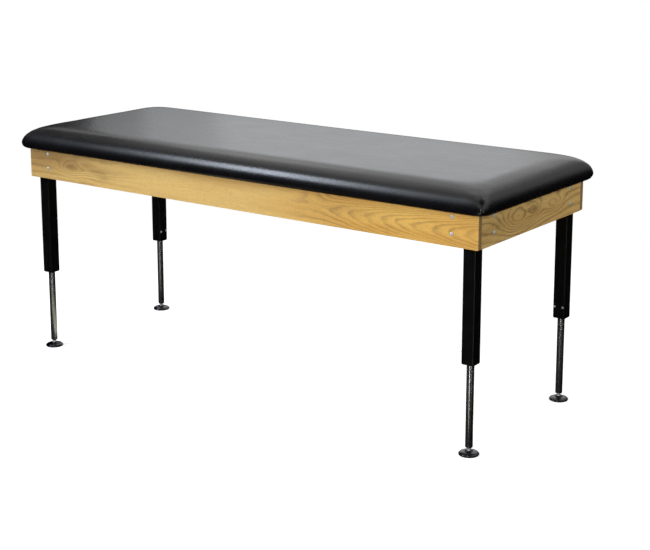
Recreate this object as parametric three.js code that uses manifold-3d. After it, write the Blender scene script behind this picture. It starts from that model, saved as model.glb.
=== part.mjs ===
// A treatment table: a padded top on an oak rail frame, with four telescoping legs on swivel glides.
// Millimetres, +Z up, +X along the table and +Y to its back, with the origin on the floor under its middle.
import * as THREE from "three";
import { mergeVertices } from "three/addons/utils/BufferGeometryUtils.js";
import Module from "manifold-3d";

const wasm = await Module();
wasm.setup();

// Clearances
const seatGap = 0.3; // between pieces that rest on or pass through each other
const cutOverrun = 5; // how far a cutting shape runs past the faces it cuts

// Rail frame
const frameLength = 1981;
const frameWidth = 711;
const railThickness = 19;
const railHeight = 111;
const railEase = 2; // easing on the long edges of each board
const railEndRadius = 5; // lower end corners of the side rails
const stretcherHeight = 76;

// Padded top
const endOverhang = 34; // of the pad past the rails, at each end
const sideOverhang = 27.5; // and along each side
const topThickness = 84; // cover, foam and deck together, at the shoulder
const crownRise = 2; // the middle of the pad stands this much above its shoulder
const shoulderWidth = 108; // how far in from the sides the pad reaches its full height
const sideHeight = 16; // the widest line of the pad above its underside
const undersideTuck = 3; // how far the cover turns in between its widest line and its underside
const sideDrawIn = 2; // how far the middle of each side is drawn in
const undersideRadius = 45; // corner radius at the underside of the cover
const widestRadius = 20; // corner radius on the widest line
const crownRadius = 121; // corner radius where the shoulder meets the flat of the pad
const coverThickness = 1.2;
const coverHem = 60; // cover turned in under the deck
const deckThickness = 16;
const deckInset = 9; // deck edge from the widest line of the pad
const deckRadius = 38;
const hemRadius = 2; // corner radius of the opening inside the hem

// Leg tube and its corner bracket
const tubeSide = 44.4;
const tubeWall = 2;
const tubeCorner = 3.2;
const legDrop = 381; // tube that shows below the rails
const plateThickness = 3.2;
const bracketReach = 116; // from the outer corner of the frame
const bracketHeight = 92;
const bracketCorner = 14; // rounded lower corner of each wing
const gussetLand = 13; // straight end of the gusset along each wing
const deckScrewHole = 2.75;
const weldNutAcross = 11;
const weldNutHeight = 5.5;

// Rail bolts
const boltRadius = 3.1;
const boltHeadRadius = 6.4;
const boltHeadHeight = 3.4;
const boltEdge = 20; // from the end of the bracket's wing
const boltLow = 41; // above the bottom of the rails
const boltPitch = 55;
const boltChamfer = 0.8;

// Clamp bush in the bottom of each tube
const bushHeight = 75;
const bushLip = 2; // lip under the end of the tube
const bushLipStep = 0.6; // the lip stands back this much from the tube's faces
const bushCorner = 2;
const bushSlit = 2;
const bushSlitHeight = 58;
const clampScrewRadius = 2;
const clampScrewChamfer = 0.5;
const clampScrewLength = 32;
const clampHeadRadius = 4;
const clampHeadHeight = 2.6;
const clampScrewWall = 0.4; // between each screw's way and the post's
const clampScrewHeight = 39; // above the lower end of the tube

// Telescoping post
const postRadius = 12.5;
const postWall = 2;
const postShow = 279; // bright post that shows below the bush
const postOverlap = 130; // post inside the leg at rest
const insertHead = 4;
const insertRound = 3;
const insertLength = 30;

// Levelling stem and swivel glide
const threadRadius = 4.75;
const threadLength = 33;
const threadChamfer = 1;
const hexAcross = 13;
const hexHeight = 4;
const levelGap = 1.9; // between the hexagon and the post at rest
const neckRadius = 5.8;
const ballRadius = 8;
const ballPlay = 0.5; // between the ball and its socket
const socketMouth = 7.3;
const mouthLip = 1;
const glideRadius = 33.5;
const glideRim = 1.6;
const collarRadius = 9.8;
const flareRadius = 18;
const flareHeight = 8; // above the underside of the glide
const padThickness = 2.7;
const padInset = 1.2;
const hexBelow = 2.2; // neck between the glide's mouth and the hexagon

// Facet counts
const turnSteps = 20;
const glideSteps = 24;
const smallTurnSteps = 10;
const hexSides = 6;
const cornerSteps = 3;
const easeSteps = 2;
const headSteps = 2;
const ballSteps = 7;
const socketSteps = 3;
const flareSteps = 3;
const domeSteps = 4;
const padCornerSteps = 6;
const padSideSteps = [6, 3]; // along the table, then across it
const shoulderSteps = 6;

// Heights and places that follow from the sizes above
const glideBottom = padThickness + seatGap;
const ballHeight = glideBottom + ballRadius;
const mouthRise = Math.sqrt((ballRadius + ballPlay) ** 2 - socketMouth ** 2);
const mouthTop = ballHeight + mouthRise + mouthLip;
const hexBottom = mouthTop + hexBelow;
const postEnd = hexBottom + hexHeight + levelGap;
const bushEnd = postEnd + postShow;
const tubeEnd = bushEnd + bushLip + seatGap;
const railBottom = bushEnd + legDrop;
const railTop = railBottom + railHeight;
const coverBottom = railTop + seatGap;
const deckBottom = coverBottom + coverThickness + seatGap;
const bracketFace = railThickness + seatGap; // outer faces of the bracket, from the frame's faces
const tubeFace = bracketFace + plateThickness;
const tubeMiddle = tubeFace + tubeSide / 2;
const crossLength = frameWidth - 2 * railThickness - 2 * seatGap; // of the boards between the side rails
const boltInset = bracketReach - boltEdge; // from the outer corner of the frame
const bushSide = tubeSide - 2 * tubeWall - 2 * seatGap;
const clampScrewOffset = postRadius + seatGap + clampScrewWall + seatGap + clampScrewRadius;
const clampScrewPlaces = [-clampScrewOffset, clampScrewOffset]; // from the middle of the tube
const topLength = frameLength + 2 * endOverhang;
const topWidth = frameWidth + 2 * sideOverhang;

// Finishes
const finish = {
  vinyl: new THREE.MeshStandardMaterial({ color: 0x17171a, roughness: 0.42, metalness: 0 }),
  foam: new THREE.MeshStandardMaterial({ color: 0xd9cfa8, roughness: 0.95, metalness: 0 }),
  plywood: new THREE.MeshStandardMaterial({ color: 0xc9a673, roughness: 0.8, metalness: 0 }),
  oak: new THREE.MeshStandardMaterial({ color: 0xc79a4b, roughness: 0.5, metalness: 0 }),
  blackSteel: new THREE.MeshStandardMaterial({ color: 0x0c0c0d, roughness: 0.4, metalness: 0.2 }),
  nylon: new THREE.MeshStandardMaterial({ color: 0x121213, roughness: 0.6, metalness: 0 }),
  chrome: new THREE.MeshStandardMaterial({ color: 0xc9cbce, roughness: 0.12, metalness: 1 }),
  zinc: new THREE.MeshStandardMaterial({ color: 0xbfc3c6, roughness: 0.3, metalness: 1 }),
  rubber: new THREE.MeshStandardMaterial({ color: 0x0f0f10, roughness: 0.75, metalness: 0 }),
};

// A closed geometry as a solid: its corners are merged and the faces that fall on a line are dropped.
function solidOf(geometry) {
  const bare = new THREE.BufferGeometry();
  bare.setAttribute("position", geometry.getAttribute("position"));
  if (geometry.index) bare.setIndex(geometry.index);
  const merged = mergeVertices(bare, mergeTolerance(bare));
  const corners = merged.index.array;
  const kept = [];
  for (let i = 0; i < corners.length; i += 3) {
    const [a, b, c] = [corners[i], corners[i + 1], corners[i + 2]];
    if (a !== b && b !== c && c !== a) kept.push(a, b, c);
  }
  const mesh = new wasm.Mesh({
    numProp: 3,
    vertProperties: new Float32Array(merged.attributes.position.array),
    triVerts: new Uint32Array(kept),
  });
  return new wasm.Manifold(mesh);
}

// Corners closer than a millionth of the geometry's size are one corner.
function mergeTolerance(geometry) {
  geometry.computeBoundingBox();
  const size = geometry.boundingBox.getSize(new THREE.Vector3());
  const cornerShare = 1e-6;
  return Math.max(size.x, size.y, size.z) * cornerShare;
}

function geometryOf(solid) {
  const { numProp, numVert, vertProperties, triVerts } = solid.getMesh();
  const points = new Float32Array(numVert * 3);
  for (let i = 0; i < numVert; i++) points.set(vertProperties.subarray(i * numProp, i * numProp + 3), i * 3);
  const geometry = new THREE.BufferGeometry();
  geometry.setAttribute("position", new THREE.BufferAttribute(points, 3));
  geometry.setIndex(new THREE.BufferAttribute(new Uint32Array(triVerts), 1));
  geometry.computeVertexNormals();
  return geometry;
}

const joined = (...geometries) => geometries.map(solidOf).reduce((whole, next) => whole.add(next));

const cutBy = (solid, ...geometries) =>
  geometries.map(solidOf).reduce((rest, tool) => rest.subtract(tool), solid);

function piece(name, shape, material) {
  const geometry = shape.isBufferGeometry ? geometryOf(solidOf(shape)) : geometryOf(shape);
  const mesh = new THREE.Mesh(geometry, material);
  mesh.name = name;
  return mesh;
}

// A profile of [radius, height] points, turned about Z.
function turned(profile, steps = turnSteps) {
  const points = profile.map(([radius, height]) => new THREE.Vector2(radius, height));
  return new THREE.LatheGeometry(points, steps).rotateX(Math.PI / 2);
}

// A straight round bar along Z, from one height to another.
const bar = (radius, low, high, steps = turnSteps) =>
  turned([[0, low], [radius, low], [radius, high], [0, high]], steps);

const turnToY = (geometry) => geometry.rotateX(-Math.PI / 2);
const turnToX = (geometry) => geometry.rotateY(Math.PI / 2);

// The points of an arc in the plane of a profile.
function arc(x, y, radius, from, to, steps) {
  return Array.from({ length: steps + 1 }, (_, i) => {
    const angle = from + ((to - from) * i) / steps;
    return [x + radius * Math.cos(angle), y + radius * Math.sin(angle)];
  });
}

// A rounded rectangle; its radii run from the lower left corner round to the upper left one.
function roundedBox(left, bottom, right, top, radii, steps = cornerSteps) {
  const [lowLeft, lowRight, highRight, highLeft] = Array.isArray(radii) ? radii : Array(4).fill(radii);
  const turn = Math.PI / 2;
  const corner = (x, y, radius, quarter) =>
    radius ? arc(x, y, radius, quarter * turn, (quarter + 1) * turn, steps) : [[x, y]];
  const outline = [
    ...corner(left + lowLeft, bottom + lowLeft, lowLeft, 2),
    ...corner(right - lowRight, bottom + lowRight, lowRight, 3),
    ...corner(right - highRight, top - highRight, highRight, 0),
    ...corner(left + highLeft, top - highLeft, highLeft, 1),
  ];
  return new THREE.Shape(outline.map(([x, y]) => new THREE.Vector2(x, y)));
}

const raised = (shape, low, high) =>
  new THREE.ExtrudeGeometry(shape, { depth: high - low, bevelEnabled: false }).translate(0, 0, low);

// A board that lies along X, with its outer face on y = 0 and its thickness towards +Y.
function board(length, height, endRadius) {
  const outline = roundedBox(-length / 2, 0, length / 2, height, [endRadius, endRadius, 0, 0]);
  const settings = {
    depth: railThickness - 2 * railEase,
    bevelEnabled: true,
    bevelSize: railEase,
    bevelOffset: -railEase,
    bevelThickness: railEase,
    bevelSegments: easeSteps,
  };
  const flat = new THREE.ExtrudeGeometry(outline, settings);
  return flat.rotateX(Math.PI / 2).translate(0, railThickness - railEase, 0);
}

// Padded top

// One ring of the pad's outline, drawn in along its sides.
function padRing(inset, radius, height, drawIn) {
  const x = topLength / 2 - inset;
  const y = topWidth / 2 - inset;
  const ring = [];
  for (let side = 0; side < 4; side++) {
    const start = (side * Math.PI) / 2;
    const signX = side === 0 || side === 3 ? 1 : -1;
    const signY = side < 2 ? 1 : -1;
    const middle = [signX * (x - radius), signY * (y - radius)];
    ring.push(...arc(...middle, radius, start, start + Math.PI / 2, padCornerSteps));
    const [startX, startY] = ring.at(-1);
    const along = side % 2 === 0;
    const facets = padSideSteps[side % 2];
    const span = along ? -2 * middle[0] : -2 * middle[1];
    for (let i = 1; i < facets; i++) {
      const share = i / facets;
      const bow = drawIn * 4 * share * (1 - share);
      const run = span * share;
      ring.push(along ? [startX + run, startY - signY * bow] : [startX - signX * bow, startY + run]);
    }
  }
  return ring.map(([px, py]) => new THREE.Vector3(px, py, height));
}

// The outline's rings from the underside over the shoulder to the crown, all drawn back by one wall.
function padRings(wall) {
  const rings = [];
  const low = coverBottom + wall;
  const widest = coverBottom + sideHeight;
  const full = coverBottom + topThickness - wall;
  const mix = THREE.MathUtils.lerp;
  const undersideShares = [0, 0.3, 1];
  for (const share of undersideShares) {
    const inset = wall + undersideTuck * (1 - share) ** 2;
    const radius = mix(undersideRadius, widestRadius, share) - wall / 2;
    rings.push(padRing(inset, radius, mix(low, widest, share), sideDrawIn));
  }
  for (let i = 1; i <= shoulderSteps; i++) {
    const angle = ((i / shoulderSteps) * Math.PI) / 2;
    const share = 1 - Math.cos(angle);
    const inset = wall + (shoulderWidth - wall) * share;
    const radius = mix(widestRadius, crownRadius, share) - wall / 2;
    const height = mix(widest, full, Math.sin(angle));
    rings.push(padRing(inset, radius, height, sideDrawIn * (1 - share)));
  }
  const crownShares = [0.4, 0.75];
  for (const share of crownShares) {
    const inset = mix(shoulderWidth, topWidth / 2, share);
    rings.push(padRing(inset, crownRadius * (1 - share), full + crownRise * (1 - (1 - share) ** 2), 0));
  }
  return rings;
}

// The pad as one closed form, with a middle point on its underside and a ridge along its crown.
function padForm(wall) {
  const rings = padRings(wall);
  const count = rings[0].length;
  const points = rings.flat();
  const faces = [];
  for (let level = 0; level + 1 < rings.length; level++) {
    for (let i = 0; i < count; i++) {
      const a = level * count + i;
      const b = level * count + ((i + 1) % count);
      faces.push(a, b, b + count, a, b + count, a + count);
    }
  }
  const top = points.length - count;
  const bottomMiddle = points.push(new THREE.Vector3(0, 0, rings[0][0].z)) - 1;
  const crownMiddle = points.push(new THREE.Vector3(0, 0, rings.at(-1)[0].z)) - 1;
  for (let i = 0; i < count; i++) {
    const next = (i + 1) % count;
    faces.push(bottomMiddle, next, i);
    faces.push(crownMiddle, top + i, top + next);
  }
  return new THREE.BufferGeometry().setFromPoints(points).setIndex(faces);
}

const deckOutline = (inset, radius) => {
  const x = topLength / 2 - deckInset - inset;
  const y = topWidth / 2 - deckInset - inset;
  return roundedBox(-x, -y, x, y, radius);
};

function vinylCover() {
  const opening = deckOutline(coverHem, hemRadius);
  const hemOpening = raised(opening, coverBottom - cutOverrun, deckBottom + cutOverrun);
  return cutBy(solidOf(padForm(0)), padForm(coverThickness), hemOpening);
}

function foamPad() {
  const around = deckOutline(-seatGap, deckRadius + seatGap);
  const deckSpace = raised(around, coverBottom - cutOverrun, deckBottom + deckThickness + seatGap);
  return cutBy(solidOf(padForm(coverThickness + seatGap)), deckSpace);
}

const plywoodDeck = () => raised(deckOutline(0, deckRadius), deckBottom, deckBottom + deckThickness);

// Rails

const boltHeights = [boltLow, boltLow + boltPitch];

// Bolt holes through a board, at both ends and both heights.
function boltHoles(distance) {
  return [-distance, distance].flatMap((x) =>
    boltHeights.map((z) => {
      const hole = bar(boltRadius + seatGap, -cutOverrun, railThickness + cutOverrun, smallTurnSteps);
      return turnToY(hole).translate(x, 0, z);
    }),
  );
}

function sideRail() {
  const plank = solidOf(board(frameLength, railHeight, railEndRadius));
  return cutBy(plank, ...boltHoles(frameLength / 2 - boltInset));
}

function endRail() {
  const plank = solidOf(board(crossLength, railHeight, 0));
  return cutBy(plank, ...boltHoles(frameWidth / 2 - boltInset));
}

function addRails(table) {
  const side = sideRail();
  const end = endRail();
  const places = [
    ["front_rail", side, 0, -frameWidth / 2, 0],
    ["right_end_rail", end, frameLength / 2, 0, 1],
    ["back_rail", side, 0, frameWidth / 2, 2],
    ["left_end_rail", end, -frameLength / 2, 0, 3],
  ];
  for (const [name, shape, x, y, quarters] of places) {
    const rail = piece(name, shape, finish.oak);
    rail.position.set(x, y, railBottom);
    rail.rotation.z = (quarters * Math.PI) / 2;
    table.add(rail);
  }
  const stretcher = piece("cross_stretcher", board(crossLength, stretcherHeight, 0), finish.oak);
  stretcher.position.set(railThickness / 2, 0, railTop - stretcherHeight);
  stretcher.rotation.z = Math.PI / 2;
  table.add(stretcher);
}

// Legs, each drawn from the outer corner of the frame with its two rails along local +X and +Y

function squareTube() {
  const outer = roundedBox(tubeFace, tubeFace, tubeFace + tubeSide, tubeFace + tubeSide, tubeCorner);
  const low = tubeFace + tubeWall;
  const high = tubeFace + tubeSide - tubeWall;
  outer.holes.push(new THREE.Path(roundedBox(low, low, high, high, tubeCorner - tubeWall).getPoints()));
  return raised(outer, tubeEnd, railTop - plateThickness / 2);
}

// One wing of the corner bracket, flat against the inside of a rail that runs along X.
function bracketWing() {
  const low = railTop - bracketHeight;
  const outline = roundedBox(bracketFace, low, bracketReach, railTop, [0, bracketCorner, 0, 0]);
  return raised(outline, 0, plateThickness);
}

const uprightWing = () => bracketWing().rotateX(Math.PI / 2);
const wingOnX = () => uprightWing().translate(0, tubeFace, 0);
const wingOnY = () => uprightWing().rotateZ(Math.PI / 2).translate(bracketFace, 0, 0);

function gusset() {
  const inner = bracketFace + gussetLand;
  const points = [
    [bracketFace, bracketFace],
    [bracketReach, bracketFace],
    [bracketReach, inner],
    [inner, bracketReach],
    [bracketFace, bracketReach],
  ];
  const shape = new THREE.Shape(points.map(([x, y]) => new THREE.Vector2(x, y)));
  return raised(shape, railTop - plateThickness, railTop);
}

const hexagon = (across, low, high) => bar(across / Math.sqrt(3), low, high, hexSides);

// Each bolt's place on the rail that lies along X, and on the one that lies along Y.
const boltPlaces = [turnToY, turnToX].flatMap((turn) =>
  boltHeights.map((height) => ({ turn, along: turn === turnToY, z: railBottom + height })),
);

const atBolt = (geometry, { turn, along, z }) =>
  turn(geometry).translate(along ? boltInset : 0, along ? 0 : boltInset, z);

// Two holes through the gusset for the screws into the deck.
function deckHoles() {
  const far = (bracketReach + bracketFace) / 2;
  const near = tubeFace + gussetLand / 2;
  const places = [[far, near], [near, far]];
  return places.map(([x, y]) =>
    bar(deckScrewHole, railTop - cutOverrun, railTop + cutOverrun, smallTurnSteps).translate(x, y, 0),
  );
}

// The clamp screws' holes, side by side around the leg's middle, between two distances along Y.
function screwWays(middle, from, to) {
  return clampScrewPlaces.map((place) => {
    const way = bar(clampScrewRadius + seatGap, from, to, smallTurnSteps);
    return turnToY(way).translate(middle + place, 0, tubeEnd + clampScrewHeight);
  });
}

function legWeldment() {
  const nutLow = tubeFace - plateThickness / 2;
  const nutHigh = tubeFace + weldNutHeight;
  const nuts = boltPlaces.map((place) => atBolt(hexagon(weldNutAcross, nutLow, nutHigh), place));
  const boltWays = boltPlaces.map((place) => {
    const way = bar(boltRadius + seatGap, bracketFace - cutOverrun, nutHigh + cutOverrun, smallTurnSteps);
    return atBolt(way, place);
  });
  const tubeSideFar = tubeFace + tubeSide;
  const clampWays = screwWays(tubeMiddle, tubeSideFar - tubeWall - cutOverrun, tubeSideFar + cutOverrun);
  const whole = joined(squareTube(), wingOnX(), wingOnY(), gusset(), ...nuts);
  return cutBy(whole, ...boltWays, ...clampWays, ...deckHoles());
}

// A split block that fills the end of the tube; its two screws close the slit on the post.
function clampBush() {
  const half = bushSide / 2;
  const lipHalf = tubeSide / 2 - bushLipStep;
  const bushTop = bushEnd + bushHeight;
  const block = raised(roundedBox(-half, -half, half, half, bushCorner), bushEnd + bushLip / 2, bushTop);
  const lipOutline = roundedBox(-lipHalf, -lipHalf, lipHalf, lipHalf, tubeCorner);
  const lip = raised(lipOutline, bushEnd, bushEnd + bushLip);
  const bore = bar(postRadius + seatGap, bushEnd - cutOverrun, bushTop + cutOverrun);
  const slitOutline = roundedBox(-tubeSide, -bushSlit / 2, tubeSide, bushSlit / 2, 0);
  const slit = raised(slitOutline, bushEnd - cutOverrun, bushEnd + bushSlitHeight);
  const screwEnd = tubeSide / 2 - clampScrewLength - seatGap;
  return cutBy(joined(block, lip), bore, slit, ...screwWays(0, screwEnd, tubeSide));
}

// A domed screw along Z, its head below z = 0 and its shank above.
function domedScrew(headRadius, headHeight, radius, length, chamfer) {
  const quarter = arc(0, 0, 1, -Math.PI / 2, 0, headSteps);
  const dome = quarter.map(([x, y]) => [x * headRadius, y * headHeight]);
  dome[0][0] = 0;
  dome.at(-1)[1] = 0;
  const shank = [[radius, 0], [radius, length - chamfer], [radius - chamfer, length], [0, length]];
  return turned([...dome, ...shank], smallTurnSteps);
}

function railBolt() {
  const length = tubeFace + weldNutHeight;
  return domedScrew(boltHeadRadius, boltHeadHeight, boltRadius, length, boltChamfer);
}

const clampScrew = () =>
  domedScrew(clampHeadRadius, clampHeadHeight, clampScrewRadius, clampScrewLength, clampScrewChamfer);

function postTube() {
  const inside = postRadius - postWall;
  const low = postEnd + insertHead + seatGap;
  const high = bushEnd + postOverlap;
  return turned([[inside, low], [postRadius, low], [postRadius, high], [inside, high], [inside, low]]);
}

// The plug in the end of the post, threaded for the levelling stem, with a rounded head.
function postInsert() {
  const bore = threadRadius + seatGap;
  const round = arc(postRadius - insertRound, postEnd + insertRound, insertRound, -Math.PI / 2, 0, headSteps);
  const inside = postRadius - postWall - seatGap;
  const headTop = postEnd + insertHead;
  const top = postEnd + insertLength;
  const profile = [[bore, postEnd], ...round, [postRadius, headTop], [inside, headTop], [inside, top]];
  return turned([...profile, [bore, top], [bore, postEnd]]);
}

// Ball, neck, hexagon and thread of the levelling stem in one.
function levellingStem() {
  const neckAngle = Math.acos(neckRadius / ballRadius);
  const ball = arc(0, ballHeight, ballRadius, -Math.PI / 2, neckAngle, ballSteps);
  ball[0][0] = 0;
  const threadTop = postEnd + threadLength;
  const shank = [
    [neckRadius, hexBottom + hexHeight / 2],
    [threadRadius, hexBottom + hexHeight / 2],
    [threadRadius, threadTop - threadChamfer],
    [threadRadius - threadChamfer, threadTop],
    [0, threadTop],
  ];
  return joined(turned([...ball, ...shank]), hexagon(hexAcross, hexBottom, hexBottom + hexHeight));
}

// The domed foot: a collar that holds the ball, a hollow flare under it and a low dome out to the rim.
function glideCap() {
  const socket = ballRadius + ballPlay;
  const mouthAngle = Math.acos(socketMouth / socket);
  const inside = arc(0, ballHeight, socket, 0, mouthAngle, socketSteps);
  const flareTop = glideBottom + flareHeight;
  const flareDrop = mouthTop - flareTop;
  const flareRun = flareRadius - collarRadius;
  const flare = arc(0, 0, 1, Math.PI, Math.PI * 1.5, flareSteps).map(([x, y]) => [
    flareRadius + x * flareRun,
    mouthTop + y * flareDrop,
  ]);
  const rimTop = glideBottom + glideRim;
  const dome = arc(0, 0, 1, Math.PI / 2, 0, domeSteps).map(([x, y]) => [
    flareRadius + x * (glideRadius - flareRadius),
    rimTop + y * (flareTop - rimTop),
  ]);
  const outside = [...flare, ...dome.slice(1), [glideRadius, glideBottom], [socket, glideBottom]];
  const profile = [[socket, glideBottom], ...inside, [socketMouth, mouthTop], ...outside];
  return turned(profile.reverse(), glideSteps);
}

function glidePad() {
  const radius = glideRadius - padInset;
  const edge = [[radius - padInset, 0], [radius, padInset], [radius, padThickness]];
  return turned([[0, 0], ...edge, [0, padThickness]], glideSteps);
}

// The same leg fits every corner, a quarter turn on from the last.
const corners = [
  ["front_left", -1, -1],
  ["front_right", 1, -1],
  ["back_right", 1, 1],
  ["back_left", -1, 1],
];

function addLegs(table) {
  const onAxis = [
    ["clamp_bush", clampBush(), finish.nylon],
    ["post", solidOf(postTube()), finish.chrome],
    ["post_insert", solidOf(postInsert()), finish.chrome],
    ["levelling_stem", levellingStem(), finish.zinc],
    ["glide_cap", solidOf(glideCap()), finish.chrome],
    ["glide_pad", solidOf(glidePad()), finish.rubber],
  ];
  const weldment = legWeldment();
  const bolt = solidOf(railBolt());
  const screw = solidOf(clampScrew());
  corners.forEach(([corner, signX, signY], quarter) => {
    const leg = new THREE.Group();
    leg.position.set((signX * frameLength) / 2, (signY * frameWidth) / 2, 0);
    leg.rotation.z = (quarter * Math.PI) / 2;
    leg.add(piece(`leg_tube_${corner}`, weldment, finish.blackSteel));
    for (const [name, shape, material] of onAxis) {
      const mesh = piece(`${name}_${corner}`, shape, material);
      mesh.position.set(tubeMiddle, tubeMiddle, 0);
      leg.add(mesh);
    }
    boltPlaces.forEach(({ along, z }, i) => {
      const mesh = piece(`rail_bolt_${corner}_${i + 1}`, bolt, finish.zinc);
      const rest = -seatGap;
      mesh.position.set(along ? boltInset : rest, along ? rest : boltInset, z);
      if (along) mesh.rotation.x = -Math.PI / 2;
      else mesh.rotation.y = Math.PI / 2;
      leg.add(mesh);
    });
    clampScrewPlaces.forEach((place, i) => {
      const mesh = piece(`clamp_screw_${corner}_${i + 1}`, screw, finish.zinc);
      mesh.position.set(tubeMiddle + place, tubeFace + tubeSide + seatGap, tubeEnd + clampScrewHeight);
      mesh.rotation.x = Math.PI / 2;
      leg.add(mesh);
    });
    table.add(leg);
  });
}

function treatmentTable() {
  const table = new THREE.Group();
  table.add(piece("vinyl_cover", vinylCover(), finish.vinyl));
  table.add(piece("foam_pad", foamPad(), finish.foam));
  table.add(piece("plywood_deck", plywoodDeck(), finish.plywood));
  addRails(table);
  addLegs(table);
  return table;
}

export default treatmentTable();
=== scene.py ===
# A treatment table: black vinyl top, oak rails, black legs and chrome posts on swivel glides.
import math
import random

import bpy
from mathutils import Matrix, Vector


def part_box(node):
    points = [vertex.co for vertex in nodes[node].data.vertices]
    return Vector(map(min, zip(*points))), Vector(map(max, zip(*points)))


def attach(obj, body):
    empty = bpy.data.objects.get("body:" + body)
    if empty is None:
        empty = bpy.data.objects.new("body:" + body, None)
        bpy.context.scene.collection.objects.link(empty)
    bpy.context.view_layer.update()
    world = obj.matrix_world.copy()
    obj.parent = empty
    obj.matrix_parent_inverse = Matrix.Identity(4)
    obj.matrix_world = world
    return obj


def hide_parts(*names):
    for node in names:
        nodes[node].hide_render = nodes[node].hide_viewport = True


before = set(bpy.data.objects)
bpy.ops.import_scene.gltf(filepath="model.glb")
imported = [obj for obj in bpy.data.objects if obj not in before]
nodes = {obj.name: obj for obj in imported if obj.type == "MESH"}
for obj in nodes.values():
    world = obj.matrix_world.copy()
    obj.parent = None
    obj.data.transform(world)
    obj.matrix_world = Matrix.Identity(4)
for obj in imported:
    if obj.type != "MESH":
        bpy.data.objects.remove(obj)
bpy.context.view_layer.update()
random.seed(7)

mm = 0.001


# Tools

def linear(hexColour):
    parts = [int(hexColour[i:i + 2], 16) / 255 for i in (0, 2, 4)]
    curve = [p / 12.92 if p <= 0.04045 else ((p + 0.055) / 1.055) ** 2.4 for p in parts]
    return (*curve, 1)


# Adds one node, with its settings as keywords and its values or links by socket.
def addNode(tree, kind, sockets=None, stops=None, **settings):
    node = tree.nodes.new("ShaderNode" + kind)
    for name, value in settings.items():
        setattr(node, name, value)
    for socket, value in (sockets or {}).items():
        if isinstance(value, bpy.types.NodeSocket):
            tree.links.new(value, node.inputs[socket])
        else:
            node.inputs[socket].default_value = value
    if stops:
        ramp = node.color_ramp.elements
        while len(ramp) < len(stops):
            ramp.new(0.5)
        for element, (place, colour) in zip(ramp, stops):
            element.position = place
            element.color = colour
    return node


def newMaterial(name):
    material = bpy.data.materials.new(name)
    material.use_nodes = True
    material.node_tree.nodes.clear()
    return material, material.node_tree


def finishMaterial(tree, surface):
    addNode(tree, "OutputMaterial", {"Surface": surface})


def grey(value):
    return (value, value, value, 1)


def clearSelection():
    if bpy.context.object and bpy.context.object.mode != "OBJECT":
        bpy.ops.object.mode_set(mode="OBJECT")
    bpy.ops.object.select_all(action="DESELECT")


def makeActive(piece):
    clearSelection()
    piece.select_set(True)
    bpy.context.view_layer.objects.active = piece


def namedPiece(name, material):
    piece = bpy.context.object
    piece.name = name
    piece.data.name = name
    piece.data.materials.clear()
    piece.data.materials.append(material)
    return piece


# Puts the place of a finished piece into its mesh.
def settle(piece, angle=40):
    makeActive(piece)
    bpy.ops.object.transform_apply(location=True, rotation=True, scale=True)
    bpy.ops.object.shade_smooth_by_angle(angle=math.radians(angle))


def applyModifier(piece, kind, **settings):
    makeActive(piece)
    modifier = piece.modifiers.new(kind.title(), kind)
    for name, value in settings.items():
        setattr(modifier, name, value)
    bpy.ops.object.modifier_apply(modifier=modifier.name)


# A round piece raised ring by ring from a circle; a loop ends on its first ring, other profiles are capped.
def turnPiece(name, profile, sides, material, loop=False):
    clearSelection()
    (radius, height), *rest = profile
    bpy.ops.mesh.primitive_circle_add(vertices=sides, radius=radius * mm, location=(0, 0, height * mm))
    piece = namedPiece(name, material)
    bpy.ops.object.transform_apply(location=True, rotation=True, scale=True)
    bpy.ops.object.mode_set(mode="EDIT")
    bpy.ops.mesh.select_mode(type="VERT")
    bpy.ops.mesh.select_all(action="SELECT")
    if loop:
        rest.append(profile[0])
    else:
        bpy.ops.mesh.edge_face_add()
    for nextRadius, nextHeight in rest:
        bpy.ops.mesh.extrude_region_move(TRANSFORM_OT_translate={"value": (0, 0, (nextHeight - height) * mm)})
        scale = nextRadius / radius
        bpy.ops.transform.resize(value=(scale, scale, 1), center_override=(0, 0, nextHeight * mm))
        radius, height = nextRadius, nextHeight
    bpy.ops.mesh.select_all(action="SELECT")
    bpy.ops.mesh.remove_doubles(threshold=1e-6)
    bpy.ops.mesh.normals_make_consistent(inside=False)
    bpy.ops.object.mode_set(mode="OBJECT")
    return piece


# Gives each point of a turned piece a new radius, in millimetres, by its angle, radius and height.
def reshape(piece, rule):
    for vertex in piece.data.vertices:
        radius = vertex.co.xy.length
        if radius > 1e-6:
            angle = math.atan2(vertex.co.y, vertex.co.x)
            scale = rule(angle, radius * 1000, vertex.co.z * 1000) / (radius * 1000)
            vertex.co.x *= scale
            vertex.co.y *= scale


def arcPoints(x, z, radius, first, last, steps):
    angles = [math.radians(first + (last - first) * i / steps) for i in range(steps + 1)]
    return [(x + radius * math.cos(a), z + radius * math.sin(a)) for a in angles]


def hexRadius(across, angle):
    sector = math.pi / 3
    return across / 2 / math.cos(angle % sector - sector / 2)


# Selects the vertices of the piece in edit mode that pass a test.
def selectBy(piece, test):
    bpy.ops.object.mode_set(mode="OBJECT")
    for vertex in piece.data.vertices:
        vertex.select = test(vertex.co)
    for edge in piece.data.edges:
        edge.select = all(piece.data.vertices[i].select for i in edge.vertices)
    for face in piece.data.polygons:
        face.select = all(piece.data.vertices[i].select for i in face.vertices)
    bpy.ops.object.mode_set(mode="EDIT")


# Camera, at the photograph's place

camera = {
    "place": (3.12994, -4.08181, 1.78198),
    "turn": (78.626, 0, 36.1261),
    "lens": 79.7492,
    "rise": -0.1538,  # the photograph's upright lines run nearly parallel
}
bpy.ops.object.camera_add(location=camera["place"], rotation=[math.radians(a) for a in camera["turn"]])
eye = bpy.context.object
eye.data.lens = camera["lens"]
eye.data.sensor_width = 36
eye.data.shift_y = camera["rise"]
bpy.context.scene.camera = eye
bpy.context.scene.view_settings.view_transform = "Standard"

# Studio

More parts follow.
